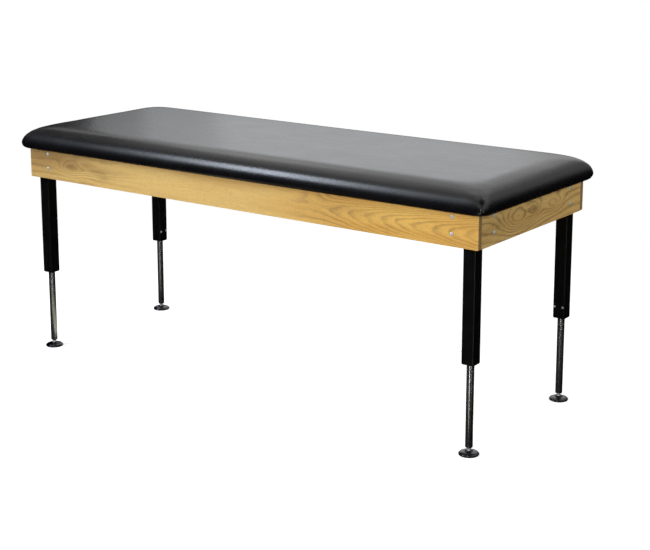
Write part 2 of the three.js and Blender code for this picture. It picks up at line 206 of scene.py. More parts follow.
studio = {
    "floorSize": 30,
    "floorColour": "f0f0f0",
    "floorGain": 1.5,  # the lit paper as the camera sees it
    "floorGlow": 0.35,
    "floorReach": (1.7, 2.9),  # where the paper fades into plain white, from the middle of the table
    "worldFill": 0.3,
    "keyPlace": (-2.54, -3.06, 3.05),
    "keySize": (0.34, 2.2),
    "keyTilt": 24,  # leans with the line that the rounded front edge reflects
    "keyPower": 94,
    "keyColour": (0.79, 0.87, 1),
    "topPlace": (0, 0.6, 4.9),
    "topSize": (4.5, 3.5),
    "topPower": 22,
    "backPlace": (-4.6, 6.0, 2.3),
    "backSize": (4.4, 2.6),
    "backPower": 16,
    "backColour": (0.86, 0.93, 1),
    "sidePlace": (2.6, 1.6, 1.25),
    "sideSize": (1.0, 1.0),
    "sidePower": 14,
    "fillPlace": (0.9, -4.3, 1.5),
    "fillSize": (3.2, 1.8),
    "fillPower": 62,
    "stripPlace": (1.75, -3.1, 1.0),
    "stripSize": (0.16, 1.5),
    "stripPower": 14,
    "aim": (0, 0, 0.7),
    "flagRadius": 7,
    "flagHeight": (1.0, 2.1),  # the painted dark reflection all round fades out between these heights
    "darkReflectionColour": "0e0d0d",
    "cards": {  # dark cards for painted dark reflections: both ends on the floor, the heights between which it fades out, and its density
        "flagLeft": ((-3.0, 1.95), (-3.6, -1.4), 1.7, 2.7, 1),
        "flagLeftHalf": ((-3.0, 2.4), (-3.0, 1.96), 1.7, 2.7, 0.55),
        "flagLeftThin": ((-3.0, 3.1), (-3.0, 2.41), 1.7, 2.7, 0.28),
        "flagBackRight": ((0.2, 5.6), (3.4, 4.4), 3.6, 5.0, 0.6),
        "flagFrontLeft": ((-3.6, -1.4), (-4.6, -4.6), 3.8, 5.2, 1),
        "flagFrontMiddle": ((-4.6, -4.6), (-0.6, -5.6), 3.6, 4.8, 1),
        "flagRight": ((2.6, 3.4), (4.2, -1.0), 1.2, 2.8, 0.78),
        "flagFront": ((-0.6, -5.6), (5.2, -3.2), 2.0, 4.0, 1),
    },
    "overhead": {  # painted dark reflection overhead: low and high corner of a dark card, its height and its density
        "flagAbove": ((-6.0, -5.5), (4.5, 0.4), 4.7, 0.2),
        "flagAboveFront": ((-6.0, -5.5), (4.5, -0.3), 4.6, 0.22),
        "flagAboveLeft": ((-7.0, -5.5), (-3.5, 2.4), 4.5, 0.4),
        "flagAboveFarLeft": ((-7.0, -5.5), (-4.1, 3.0), 4.4, 0.75),
        "flagAboveCorner": ((0.9, -3.0), (4.5, 1.3), 4.5, 0.85),
    },
    "strips": {  # glowing cards that only reflections see, for painted glints: where it starts and ends, its width, its height, its colour and its strength
        "stripAbove": ((-4.2, 2.6), (-2.6, 2.6), 1.8, 4.4, "ffffff", 2.0),
        "stripEdge": ((2.65, -1.29), (3.9, -2.0), 0.38, 0.001, "e8dcc0", 13),
        "stripNear": ((1.03, -0.95), (1.09, -1.55), 0.24, 0.001, "ffffff", 3.8),
        "stripNearLow": ((0.968, -0.5), (1.02, -0.94), 0.08, 0.001, "c8c49c", 1.1),
        "stripFar": ((0.96, 0.05), (0.975, -0.16), 0.08, 0.001, "c8c49c", 0.6),
        "stripLeft": ((-0.83, -0.58), (-0.48, -1.35), 0.26, 0.001, "d0cdb4", 0.7),
        "stripBack": ((-0.83, 0.0), (-0.5, -0.9), 0.26, 0.001, "d0cdb4", 0.9),
    },
}


# The light paths that see the white backdrop as it is.
def seenDirectly(tree):
    rays = addNode(tree, "LightPath").outputs
    pair = addNode(tree, "Math", {0: rays["Is Camera Ray"], 1: rays["Is Glossy Ray"]}, operation="MAXIMUM")
    sockets = {0: pair.outputs[0], 1: rays["Is Transmission Ray"]}
    return addNode(tree, "Math", sockets, operation="MAXIMUM").outputs[0]


def makeWorld():
    world = bpy.data.worlds.new("studioAir")
    bpy.context.scene.world = world
    world.use_nodes = True
    tree = world.node_tree
    tree.nodes.clear()
    fill = addNode(tree, "Background", {"Color": grey(1), "Strength": studio["worldFill"]})
    white = addNode(tree, "Background", {"Color": grey(1), "Strength": 1})
    mix = addNode(tree, "MixShader", {0: seenDirectly(tree), 1: fill.outputs[0], 2: white.outputs[0]})
    addNode(tree, "OutputWorld", {"Surface": mix.outputs[0]})


def makeFloor():
    clearSelection()
    bpy.ops.mesh.primitive_plane_add(size=studio["floorSize"])
    material, tree = newMaterial("pale_studio_floor")
    paper = addNode(tree, "BsdfDiffuse", {"Color": linear(studio["floorColour"])})
    bright = addNode(tree, "BsdfDiffuse", {"Color": grey(studio["floorGain"])})
    glow = addNode(tree, "Emission", {"Color": grey(1), "Strength": studio["floorGlow"]})
    white = addNode(tree, "Emission", {"Color": grey(1), "Strength": 1})
    near = addNode(tree, "AddShader", {0: bright.outputs[0], 1: glow.outputs[0]})
    place = addNode(tree, "TexCoord").outputs["Object"]
    distance = addNode(tree, "VectorMath", {0: place}, operation="LENGTH").outputs["Value"]
    first, last = studio["floorReach"]
    fade = addNode(tree, "MapRange", {0: distance, 1: first, 2: last}, interpolation_type="SMOOTHSTEP")
    seen = addNode(tree, "MixShader", {0: fade.outputs[0], 1: near.outputs[0], 2: white.outputs[0]})
    mix = addNode(tree, "MixShader", {0: seenDirectly(tree), 1: paper.outputs[0], 2: seen.outputs[0]})
    finishMaterial(tree, mix.outputs[0])
    namedPiece("studioFloor", material)


# A dark card that only reflections see: a painted dark reflection, fading out between two heights.
def darkReflectionMaterial(name, low, high, density=1):
    material, tree = newMaterial(name)
    place = addNode(tree, "TexCoord").outputs["Object"]
    up = addNode(tree, "SeparateXYZ", {0: place}).outputs[2]
    sockets = {0: up, 1: low, 2: high, 3: 1 - density}
    fade = addNode(tree, "MapRange", sockets, interpolation_type="SMOOTHSTEP")
    dark = addNode(tree, "Emission", {"Color": linear(studio["darkReflectionColour"])})
    clear = addNode(tree, "BsdfTransparent")
    both = addNode(tree, "MixShader", {0: fade.outputs[0], 1: dark.outputs[0], 2: clear.outputs[0]})
    finishMaterial(tree, both.outputs[0])
    return material


# A glowing card that only reflections see: a painted glint, though it is no lamp.
def glintCardMaterial(name, colour, strength):
    material, tree = newMaterial(name)
    glow = addNode(tree, "Emission", {"Color": linear(colour), "Strength": strength})
    finishMaterial(tree, glow.outputs[0])
    return material


# A flat card over the line from start to end, raised to a height: upright, or lying where tilt is 0.
def addCard(name, material, start, end, width, height, tilt=0):
    run = Vector(end) - Vector(start)
    middle = (Vector(end) + Vector(start)) / 2
    turn = math.atan2(run.y, run.x)
    clearSelection()
    bpy.ops.mesh.primitive_plane_add(size=1, location=(*middle, height), rotation=(tilt, 0, turn))
    card = namedPiece(name, material)
    card.scale = (run.length, width, 1)
    return card


# Dark cards and glowing cards that only reflections see, set round the black and chrome parts: painted dark
# reflections and painted glints.
def makeReflectionCards():
    low, high = studio["flagHeight"]
    size = studio["flagRadius"]
    ringCard = darkReflectionMaterial("painted_dark_reflection_ring", low, high)
    clearSelection()
    bpy.ops.mesh.primitive_cylinder_add(
        vertices=64, radius=size, depth=high, location=(0, 0, high / 2), end_fill_type="NOTHING"
    )
    flags = [namedPiece("flagAround", ringCard)]
    clearSelection()
    bpy.ops.mesh.primitive_circle_add(vertices=64, radius=size, fill_type="NGON", location=(0, 0, 0.1 * mm))
    flags.append(namedPiece("flagBelow", ringCard))
    for name, (start, end, fadeLow, fadeHigh, density) in studio["cards"].items():
        material = darkReflectionMaterial("painted_dark_reflection_card_" + name, fadeLow, fadeHigh, density)
        flags.append(addCard(name, material, start, end, fadeHigh, fadeHigh / 2, math.pi / 2))
    for name, ((lowX, lowY), (highX, highY), height, density) in studio["overhead"].items():
        material = darkReflectionMaterial("painted_dark_reflection_card_" + name, height + 1, height + 2, density)
        middleY = (lowY + highY) / 2
        flags.append(addCard(name, material, (lowX, middleY), (highX, middleY), highY - lowY, height))
    for name, (start, end, width, height, colour, strength) in studio["strips"].items():
        material = glintCardMaterial("painted_glint_" + name, colour, strength)
        flags.append(addCard(name, material, start, end, width, height))
    for flag in flags:
        makeActive(flag)
        bpy.ops.object.transform_apply(location=True, rotation=True, scale=True)
        flag.visible_camera = False
        flag.visible_diffuse = False
        flag.visible_shadow = False
        flag.visible_transmission = False
        flag.visible_volume_scatter = False


def addLamp(name, place, size, power, colour=(1, 1, 1)):
    clearSelection()
    bpy.ops.object.light_add(type="AREA", location=place)
    lamp = bpy.context.object
    lamp.name = name
    lamp.data.shape = "RECTANGLE"
    lamp.data.size, lamp.data.size_y = size
    lamp.data.energy = power
    lamp.data.color = colour
    aim = Vector(studio["aim"]) - Vector(place)
    lamp.rotation_euler = aim.to_track_quat("-Z", "Y").to_euler()
    lamp.visible_camera = False
    return lamp


makeWorld()
makeFloor()
makeReflectionCards()
key = addLamp("keySoftbox", studio["keyPlace"], studio["keySize"], studio["keyPower"], studio["keyColour"])
key.rotation_euler.rotate_axis("Z", math.radians(studio["keyTilt"]))
addLamp("overheadSoftbox", studio["topPlace"], studio["topSize"], studio["topPower"])
fill = addLamp("frontFill", studio["fillPlace"], studio["fillSize"], studio["fillPower"])
fill.visible_glossy = False  # bounced light, too dim and wide to show as a highlight
addLamp("backSoftbox", studio["backPlace"], studio["backSize"], studio["backPower"], studio["backColour"])
side = addLamp("sideFill", studio["sidePlace"], studio["sideSize"], studio["sidePower"])
side.visible_glossy = False
addLamp("stripSoftbox", studio["stripPlace"], studio["stripSize"], studio["stripPower"])
print("stage: studio ready")


# Vinyl: PVC upholstery sheet, calendered and embossed with a fine leather grain, so it has a satin sheen
# over near black.

vinylLook = {
    "deep": "080709",
    "ground": "0c0b0d",
    "roughness": (0.26, 0.285),
    "pebble": 1.6,  # mm across; the real grain is about 0.8 mm, too fine to show
    "pebbleDepth": 0.05,
}


def vinylMaterial():
    material, tree = newMaterial("embossed_pvc_vinyl")
    place = addNode(tree, "TexCoord").outputs["Object"]
    cells = addNode(tree, "TexVoronoi", {"Vector": place, "Scale": 1000 / vinylLook["pebble"]})
    noise = addNode(tree, "TexNoise", {"Vector": place, "Scale": 9, "Detail": 3, "Roughness": 0.55})
    cloud = noise.outputs[0]
    smooth, worn = vinylLook["roughness"]
    wear = addNode(tree, "MapRange", {0: cloud, 1: 0.3, 2: 0.7, 3: smooth, 4: worn})
    bump = addNode(tree, "Bump", {
        "Strength": 0.35,
        "Distance": vinylLook["pebbleDepth"] * mm,
        "Height": cells.outputs["Distance"],
    })
    stops = [(0.3, linear(vinylLook["deep"])), (0.7, linear(vinylLook["ground"]))]
    tone = addNode(tree, "ValToRGB", {0: cloud}, stops)
    surface = addNode(tree, "BsdfPrincipled", {
        "Base Color": tone.outputs[0],
        "Roughness": wear.outputs[0],
        "IOR": 1.53,
        "Normal": bump.outputs[0],
    })
    finishMaterial(tree, surface.outputs[0])
    return material


# Oak: plain-sawn red oak boards under an oiled satin varnish: golden, with brown ring lines, short pores
# and knots.

oakLook = {
    "ground": "dab56c",
    "deep": "cda25a",
    # the warm pair is more saturated as the wood is, and brighter partly as painted light where the lamps fall
    # off along the front rail
    "warmGround": "e0b258",
    "warmDeep": "cf9a42",
    # the tone of the stains, and also of the painted shade under the pad along the front rail's top
    "dull": "8f7040",
    "line": "74502f",
    "endGrainAndGapShade": "80694a",  # end grain drinks more varnish and is darker, and part of this darkness is painted shade of the gap at the board's end
    "ringsThrough": 38,  # rings crossed in a metre of thickness
    "roughness": (0.48, 0.34),
}
# Swells lift the count of rings and stains dull the wood, and the broad stain along the top of the front
# rail is painted shade under the pad's overhang. Each gives its place along the board, its height, its reach
# both ways in metres, and its strength.
boards = {
    "front_rail": {
        "along": 0,
        "pitch": 0.034,  # height between ring lines where they run straight
        "slope": 0.4,  # rings that the lines climb in a metre of board
        "wander": 0.6,
        "strength": 0.54,
        "swells": [(-0.772, 0.741, 0.05, 0.026, 2.8), (-0.64, 0.738, 0.15, 0.015, 2)],
        "arches": [(0.42, 0.737, 0.062, 0.024, 1.6)],  # first tip, middle height, spacing, half height, slant
        "stainsAndShade": [
            (-0.9, 0.775, 0.26, 0.034, 0.85), (-0.772, 0.745, 0.03, 0.012, 0.95),
            # the broad one high up at 0.8 is painted shade under the pad's overhang, not a stain
            (-0.2, 0.8, 0.7, 0.032, 0.4), (-0.63, 0.745, 0.12, 0.012, 0.5),
            (-0.6, 0.722, 0.03, 0.012, 0.4), (0.5, 0.752, 0.16, 0.02, 0.25), (-0.95, 0.74, 0.16, 0.06, 0.4),
        ],
        "clear": (-0.5, 0.3),  # a stretch with hardly any lines
        "warm": (0.0, 0.7),
        "seed": 1.3,
    },
    "back_rail": {
        "along": 0,
        "pitch": 0.03,
        "slope": -0.6,
        "wander": 0.6,
        "strength": 0.62,
        "swells": [(0.52, 0.75, 0.07, 0.03, 3.0), (0.66, 0.748, 0.14, 0.018, 1.4)],
        "arches": [(-0.4, 0.735, 0.07, 0.025, 1.4)],
        "stainsAndShade": [(0.52, 0.75, 0.03, 0.011, 0.8), (0.8, 0.77, 0.3, 0.03, 0.5)],
        "clear": (-1.1, -0.6),
        "warm": (-1, 1),
        "seed": 4.1,
    },
    "right_end_rail": {
        "along": 1,
        "pitch": 0.026,
        "slope": 1,
        "wander": 0.6,
        "strength": 0.78,
        "swells": [
            (-0.08, 0.745, 0.22, 0.09, 3), (-0.11, 0.742, 0.085, 0.038, 3.4),
            (0.0, 0.75, 0.034, 0.022, 2.4), (0.14, 0.745, 0.05, 0.026, 2),
        ],
        "arches": [],
        "stainsAndShade": [(0.0, 0.753, 0.028, 0.011, 0.85), (-0.25, 0.74, 0.1, 0.02, 0.3)],
        "clear": (2, 3),
        "warm": (3, 4),
        "seed": 7.7,
    },
    "left_end_rail": {
        "along": 1,
        "pitch": 0.03,
        "slope": 2,
        "wander": 0.6,
        "strength": 0.7,
        "swells": [(0.12, 0.73, 0.07, 0.034, 2.8), (-0.1, 0.76, 0.12, 0.03, 1.6)],
        "arches": [],
        "stainsAndShade": [(0.12, 0.73, 0.025, 0.01, 0.7)],
        "clear": (2, 3),
        "warm": (3, 4),
        "seed": 9.2,
    },
    "cross_stretcher": {
        "along": 1,
        "pitch": 0.026,
        "slope": 2,
        "wander": 0.8,
        "strength": 0.62,
        "swells": [(0.05, 0.76, 0.07, 0.03, 2.4)],
        "arches": [],
        "stainsAndShade": [(0.05, 0.76, 0.02, 0.01, 0.6)],
        "clear": (2, 3),
        "warm": (3, 4),
        "seed": 12.6,
    },
}


def oakMaterial(name, board):
    material, tree = newMaterial("varnished_oak_" + name)
    coordinates = addNode(tree, "TexCoord")
    split = addNode(tree, "SeparateXYZ", {0: coordinates.outputs["Object"]})
    along, across = split.outputs[board["along"]], split.outputs[1 - board["along"]]
    up = split.outputs[2]

    def maths(operation, a, b=0.0, c=0.0):
        return addNode(tree, "Math", {0: a, 1: b, 2: c}, operation=operation).outputs[0]

    def stretched(alongScale, acrossScale, detail=3, seed=0.0, rough=0.5):
        vector = addNode(tree, "CombineXYZ", {
            0: maths("MULTIPLY_ADD", along, alongScale, seed + board["seed"]),
            1: maths("MULTIPLY", across, acrossScale),
            2: maths("MULTIPLY", up, acrossScale),
        })
        sockets = {"Vector": vector.outputs[0], "Scale": 1, "Detail": detail, "Roughness": rough}
        return addNode(tree, "TexNoise", sockets).outputs[0]

    def ramp(value, low, high, first=0.0, last=1.0):
        sockets = {0: value, 1: low, 2: high, 3: first, 4: last}
        return addNode(tree, "MapRange", sockets, interpolation_type="SMOOTHSTEP").outputs[0]

    def mixed(share, a, b, blend="MIX"):
        return addNode(tree, "Mix", {0: share, 6: a, 7: b}, data_type="RGBA", blend_type=blend).outputs[2]

    def hill(x, z, reachAlong, reachUp):
        u = maths("MULTIPLY", maths("SUBTRACT", along, x), 1 / reachAlong)
        v = maths("MULTIPLY", maths("SUBTRACT", up, z), 1 / reachUp)
        return maths("EXPONENT", maths("MULTIPLY", maths("MULTIPLY_ADD", u, u, maths("MULTIPLY", v, v)), -1))

    # Growth rings cut by the face, counted up from the lower edge
    drift = maths("MULTIPLY", maths("SUBTRACT", stretched(2.6, 11, 2), 0.5), board["wander"] * 5)
    ripple = maths("MULTIPLY", maths("SUBTRACT", stretched(14, 60, 2, 3.7), 0.5), 0.7)
    rings = maths("MULTIPLY", maths("SUBTRACT", up, 0.74), 1 / board["pitch"])
    rings = maths("MULTIPLY_ADD", along, board["slope"], rings)
    rings = maths("MULTIPLY_ADD", across, oakLook["ringsThrough"], rings)
    rings = maths("ADD", rings, drift)
    for x, z, reachAlong, reachUp, height in board["swells"]:
        rings = maths("MULTIPLY_ADD", hill(x, z, reachAlong, reachUp), height, rings)
    for x, z, spacing, half, slant in board["arches"]:
        rise = maths("SUBTRACT", up, z)
        reach = maths("SUBTRACT", maths("SUBTRACT", along, x), maths("MULTIPLY", rise, slant))
        bow = maths("MULTIPLY", rise, 1 / half)
        steps = maths("MULTIPLY", maths("MAXIMUM", reach, -0.3), 1 / spacing)
        arch = maths("SUBTRACT", steps, maths("MULTIPLY", bow, bow))
        arch = maths("ADD", maths("MULTIPLY_ADD", across, oakLook["ringsThrough"], arch), drift)
        change = maths("SUBTRACT", arch, rings)
        rings = maths("MULTIPLY_ADD", ramp(along, x - 0.15, x + 0.2), change, rings)
    rings = maths("ADD", rings, ripple)
    # Sharp on one side and soft on the other, as the spring wood of oak is
    stops = [(0.0, grey(0.35)), (0.05, grey(1)), (0.16, grey(0.8))]
    stops += [(0.42, grey(0.22)), (0.8, grey(0)), (1.0, grey(0.35))]
    line = addNode(tree, "ValToRGB", {0: maths("FRACT", rings)}, stops).outputs[0]
    first, last = board["clear"]
    fromMiddle = maths("ABSOLUTE", maths("SUBTRACT", along, (first + last) / 2))
    half = (last - first) / 2
    lined = ramp(fromMiddle, half - 0.12, half + 0.15, 0.14 * board["strength"], board["strength"])
    patchy = ramp(stretched(5, 34, 2, 6.1), 0.34, 0.6, 0.45, 0.95)
    strength = maths("MULTIPLY", maths("MULTIPLY", line, lined), patchy)
    cloud = stretched(1.7, 16, 3, 8.3)
    tones = []
    for ground, deep in (("ground", "deep"), ("warmGround", "warmDeep")):
        stops = [(0.32, linear(oakLook[deep])), (0.62, linear(oakLook[ground]))]
        tones.append(addNode(tree, "ValToRGB", {0: cloud}, stops).outputs[0])
    # The warm tone is partly the wood's own, and partly painted light that makes up for the lamps falling off
    # towards the front rail's right end.
    colour = mixed(ramp(along, *board["warm"]), *tones)
    # Stains dull the colour, and the broad one on the front rail's top paints the shade under the pad.
    for x, z, reachAlong, reachUp, share in board["stainsAndShade"]:
        stainAndShadeShare = maths("MULTIPLY", hill(x, z, reachAlong, reachUp), share)
        colour = mixed(stainAndShadeShare, colour, linear(oakLook["dull"]))
    colour = mixed(strength, colour, linear(oakLook["line"]))
    fibre = stretched(24, 800, 2, 1.1)
    pores = stretched(60, 1300, 1, 5.9)
    fibreTone = addNode(tree, "ValToRGB", {0: fibre}, [(0.3, grey(0.9)), (0.7, grey(1.05))]).outputs[0]
    poreTone = addNode(tree, "ValToRGB", {0: pores}, [(0.3, grey(0.68)), (0.42, grey(1))]).outputs[0]
    normal = addNode(tree, "SeparateXYZ", {0: coordinates.outputs["Normal"]}).outputs[board["along"]]
    # End faces take the end-grain colour, which also holds painted shade of the gap there.
    colour = mixed(ramp(maths("ABSOLUTE", normal), 0.6, 0.9, 0, 0.8), colour, linear(oakLook["endGrainAndGapShade"]))
    for tone in (fibreTone, poreTone):
        colour = mixed(1.0, colour, tone, "MULTIPLY")
    rough, smooth = oakLook["roughness"]
    gloss = addNode(tree, "MapRange", {0: fibre, 1: 0.2, 2: 0.8, 3: rough, 4: smooth})
    bump = addNode(tree, "Bump", {"Strength": 0.3, "Distance": 0.2 * mm, "Height": pores})
    surface = addNode(tree, "BsdfPrincipled", {
        "Base Color": colour,
        "Roughness": gloss.outputs[0],
        "IOR": 1.5,
        "Normal": bump.outputs[0],
    })
    finishMaterial(tree, surface.outputs[0])
    return material


# Plywood: birch deck under the pad, peeled veneer left raw, so it is pale, matt and streaked along its length.

def plywoodMaterial():
    material, tree = newMaterial("raw_birch_plywood")
    place = addNode(tree, "TexCoord").outputs["Object"]
    stretch = addNode(tree, "Mapping", {"Vector": place, "Scale": (1.5, 30, 30)})
    sockets = {"Vector": stretch.outputs[0], "Scale": 2, "Detail": 6, "Roughness": 0.6, "Distortion": 0.4}
    figure = addNode(tree, "TexNoise", sockets).outputs[0]
    stops = [(0.3, linear("b98f5c")), (0.5, linear("d1ad78")), (0.7, linear("dcbd8c"))]
    tone = addNode(tree, "ValToRGB", {0: figure}, stops)
    bump = addNode(tree, "Bump", {"Strength": 0.2, "Distance": 0.15 * mm, "Height": figure})
    surface = addNode(tree, "BsdfPrincipled", {
        "Base Color": tone.outputs[0],
        "Roughness": 0.72,
        "IOR": 1.46,
        "Normal": bump.outputs[0],
    })
    finishMaterial(tree, surface.outputs[0])
    return material


# A metal, paint or plastic whose fine surface is a bump of grains of one size in millimetres.
def grainyMaterial(name, dark, light, metallic, roughness, spread, grain, depth, ior=1.5):
    material, tree = newMaterial(name)
    place = addNode(tree, "TexCoord").outputs["Object"]
    fine = addNode(tree, "TexNoise", {"Vector": place, "Scale": 1000 / grain, "Detail": 2})
    cloud = addNode(tree, "TexNoise", {"Vector": place, "Scale": 24, "Detail": 3}).outputs[0]
    tone = addNode(tree, "ValToRGB", {0: cloud}, [(0.35, linear(dark)), (0.65, linear(light))])
    gloss = addNode(tree, "MapRange", {0: cloud, 1: 0.3, 2: 0.7, 3: roughness, 4: roughness + spread})
    bump = addNode(tree, "Bump", {"Strength": 0.4, "Distance": depth * mm, "Height": fine.outputs[0]})
    sockets = {
        "Base Color": tone.outputs[0],
        "Metallic": metallic,
        "Roughness": gloss.outputs[0],
        "Normal": bump.outputs[0],
    }
    if not metallic:
        sockets["IOR"] = ior
    surface = addNode(tree, "BsdfPrincipled", sockets)
    finishMaterial(tree, surface.outputs[0])
    return material


# Chrome: decorative plate over a steel tube ground on its way through the wheels, so its fine rings smear
# every lamp up and down the post.
def chromeMaterial():
    material, tree = newMaterial("ground_and_chromed_steel")
    place = addNode(tree, "TexCoord").outputs["Object"]
    rings = addNode(tree, "Mapping", {"Vector": place, "Scale": (20, 20, 1600)})
    lines = addNode(tree, "TexNoise", {"Vector": rings.outputs[0], "Scale": 1, "Detail": 3})
    cloud = addNode(tree, "TexNoise", {"Vector": place, "Scale": 30, "Detail": 3})
    stops = [(0.35, linear("bfc1c5")), (0.65, linear("cdced2"))]
    tone = addNode(tree, "ValToRGB", {0: cloud.outputs[0]}, stops)
    gloss = addNode(tree, "MapRange", {0: lines.outputs[0], 1: 0.3, 2: 0.7, 3: 0.2, 4: 0.26})
    around = addNode(tree, "Tangent", direction_type="RADIAL", axis="Z")
    surface = addNode(tree, "BsdfPrincipled", {
        "Base Color": tone.outputs[0],
        "Metallic": 1,
        "Roughness": gloss.outputs[0],
        "Anisotropic": 0.9,
        "Anisotropic Rotation": 0.25,
        "Tangent": around.outputs[0],
    })
    finishMaterial(tree, surface.outputs[0])
    return material


vinyl = vinylMaterial()
plywood = plywoodMaterial()
oak = {name: oakMaterial(name, board) for name, board in boards.items()}
# Powder coat: baked black paint with a faint orange peel, so lamps show in it as soft, broken bands.
powderCoat = grainyMaterial("black_powder_coated_steel", "040404", "070606", 0, 0.3, 0.06, 1.4, 0.02, 1.45)
chrome = chromeMaterial()
# Glide caps: smooth chrome over pressed steel, darkened to a mirror that gives back about a twentieth of the
# light, a painted dark reflection of a dark room.
darkenedChrome = grainyMaterial("pressed_chromed_steel_with_painted_dark_reflection", "3e3f42", "47484b", 1, 0.12, 0.05, 1.2, 0.004)
# Zinc: electroplated steel, pale and satin, and its passive film scatters part of the light.
zinc = grainyMaterial("zinc_plated_steel", "dcdee0", "eeeff0", 0.6, 0.27, 0.06, 0.8, 0.006)
# Nylon and rubber: moulded black, the one with a dull gloss and the other nearly without.
nylon = grainyMaterial("moulded_black_nylon", "101011", "161617", 0, 0.5, 0.1, 0.9, 0.02)
rubber = grainyMaterial("moulded_black_rubber", "0d0d0e", "131314", 0, 0.68, 0.12, 1.1, 0.04)

for name, board in boards.items():
    nodes[name].material_slots[0].material = oak[name]
nodes["plywood_deck"].material_slots[0].material = plywood
print("stage: materials ready")


# Padded top: vinyl over foam, wrapped round the deck's edge and stapled under it

coverLow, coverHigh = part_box("vinyl_cover")
deckLow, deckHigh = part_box("plywood_deck")
pad = {
    "shoulder": 102,
    "fullness": 2.35,  # 2 is a quarter of an ellipse, and more stands out fuller
    "side": 16,
    "tuck": 3,
    "drawIn": 2,
    "crown": 2,
    "undersideRadius": 45,
    "widestRadius": 20,
    "crownRadius": 121,
    "hem": 60,  # vinyl turned in under the deck, from the deck's edge
    "deckRadius": 38,
    "rest": 1,  # how much smaller the form starts, before it swells
    "cap": 2.5,
    "voxel": 11,
    "frames": 20,
    "even": 5,  # rounds of averaging, as the foam spreads what presses on it
    "wall": 1.2,
    "gap": 0.3,
    "pleats": 5,
    "pleatDepth": 0.9,
    "pleatSpread": 1.6,  # the pleats die out sooner on both sides of the corner as it grows
    "pleatRise": 14,  # how far above the widest line the pleats end
    "pleatFade": 26,
    "pleatStart": 12,  # from the middle of the corner's curve
}
vinylCloth = {
    "quality": 5,
    "mass": 0.3,
    "tension_stiffness": 20,
    "compression_stiffness": 20,
    "shear_stiffness": 8,
    "bending_stiffness": 1.5,
    "use_pressure": True,
    "uniform_pressure_force": 10,
}


def between(a, b, share):
    return a + (b - a) * share


# One ring of the pad's outline, in millimetres, drawn in a little along its sides.
def padOutline(inset, radius, height, drawIn):
    x = coverHigh.x * 1000 - inset
    y = coverHigh.y * 1000 - inset
    ring = []
    for side in range(4):
        signX = 1 if side in (0, 3) else -1
        signY = 1 if side < 2 else -1
        start = side * math.pi / 2
        middle = (signX * (x - radius), signY * (y - radius))
        for i in range(13):
            turn = start + math.pi / 2 * i / 12
            ring.append((middle[0] + radius * math.cos(turn), middle[1] + radius * math.sin(turn), height))
        along = side % 2 == 0
        span = -2 * middle[0] if along else -2 * middle[1]
        startX, startY = ring[-1][:2]
        facets = 48 if along else 18
        for i in range(1, facets):
            share = i / facets
            bow = drawIn * 4 * share * (1 - share)
            if along:
                ring.append((startX + span * share, startY - signY * bow, height))
            else:
                ring.append((startX - signX * bow, startY + span * share, height))
    return [Vector(p) * mm for p in ring]


def padRings(shrink):
    low = coverLow.z * 1000
    full = coverHigh.z * 1000 - pad["crown"] - shrink
    widest = low + pad["side"]
    rings = []
    for i in range(7):
        share = i / 6
        inset = shrink + pad["tuck"] * (1 - share) ** 2
        radius = between(pad["undersideRadius"], pad["widestRadius"], share)
        rings.append(padOutline(inset, radius, between(low, widest, share), pad["drawIn"]))
    steps = 24
    for i in range(1, steps + 1):
        angle = i / steps * math.pi / 2
        share = 1 - math.cos(angle) ** (2 / pad["fullness"]) if i < steps else 1
        inset = shrink + (pad["shoulder"] - shrink) * share
        radius = between(pad["widestRadius"], pad["crownRadius"], share)
        height = between(widest, full, math.sin(angle) ** (2 / pad["fullness"]))
        rings.append(padOutline(inset, radius, height, pad["drawIn"] * (1 - share)))
    for share in (0.25, 0.5, 0.75, 0.9):
        inset = between(pad["shoulder"], coverHigh.y * 1000, share)
        height = full + pad["crown"] * (1 - (1 - share) ** 2)
        rings.append(padOutline(inset, pad["crownRadius"] * (1 - share), height, 0))
    return rings


def loftPad(name, shrink):
    rings = padRings(shrink)
    count = len(rings[0])
    points = [p for ring in rings for p in ring]
    faces = []
    for level in range(len(rings) - 1):
        for i in range(count):
            a, b = level * count + i, level * count + (i + 1) % count
            faces.append((a, b, b + count, a + count))
    faces.append(tuple(range(count))[::-1])
    top = len(points) - count
    faces.append(tuple(range(top, top + count)))
    mesh = bpy.data.meshes.new(name)
    mesh.from_pydata(points, [], faces)
    piece = bpy.data.objects.new(name, mesh)
    bpy.context.scene.collection.objects.link(piece)
    mesh.materials.append(vinyl)
    return piece


# The form again as an even net of small squares, drawn back on to its surface.
def evenPad():
    form = loftPad("padForm", pad["rest"])
    net = loftPad("paddedTop", pad["rest"])
    applyModifier(net, "REMESH", mode="VOXEL", voxel_size=pad["voxel"] * mm)
    applyModifier(net, "SHRINKWRAP", target=form, wrap_method="NEAREST_SURFACEPOINT")
    bpy.data.objects.remove(form)
    upper = net.vertex_groups.new(name="upper")
    for vertex in net.data.vertices:
        if vertex.co.z > coverLow.z + (pad["side"] + 8) * mm:
            upper.add([vertex.index], 1.0, "REPLACE")
    applyModifier(net, "SMOOTH", factor=0.5, iterations=6, vertex_group="upper")
    net.vertex_groups.clear()
    return net


